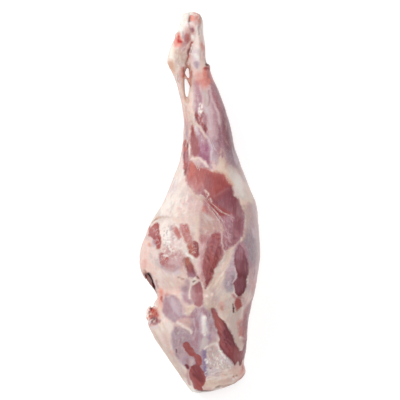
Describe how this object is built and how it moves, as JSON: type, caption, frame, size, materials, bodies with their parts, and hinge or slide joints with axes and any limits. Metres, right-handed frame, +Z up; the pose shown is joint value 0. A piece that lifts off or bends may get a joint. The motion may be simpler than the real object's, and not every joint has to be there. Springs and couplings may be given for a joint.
{
  "type": "raw leg of lamb",
  "caption": "Raw leg of lamb, bone in, with chump, shank and hock on: a long pear-shaped joint of meat that lies flat, with a hook slot behind its shin.",
  "frame": {"origin": "on the surface the leg lies on, under the middle of its length and width", "axes": "+Y from the chump to the hock, +X towards the front edge of the leg, +Z up, out of the outer side that shows"},
  "size_m": [0.174, 0.5499, 0.0966],
  "materials": {
    "meat": "satin"
  },
  "bodies": {
    "root": {"leg_of_lamb": "meat"}
  },
  "joints": []
}
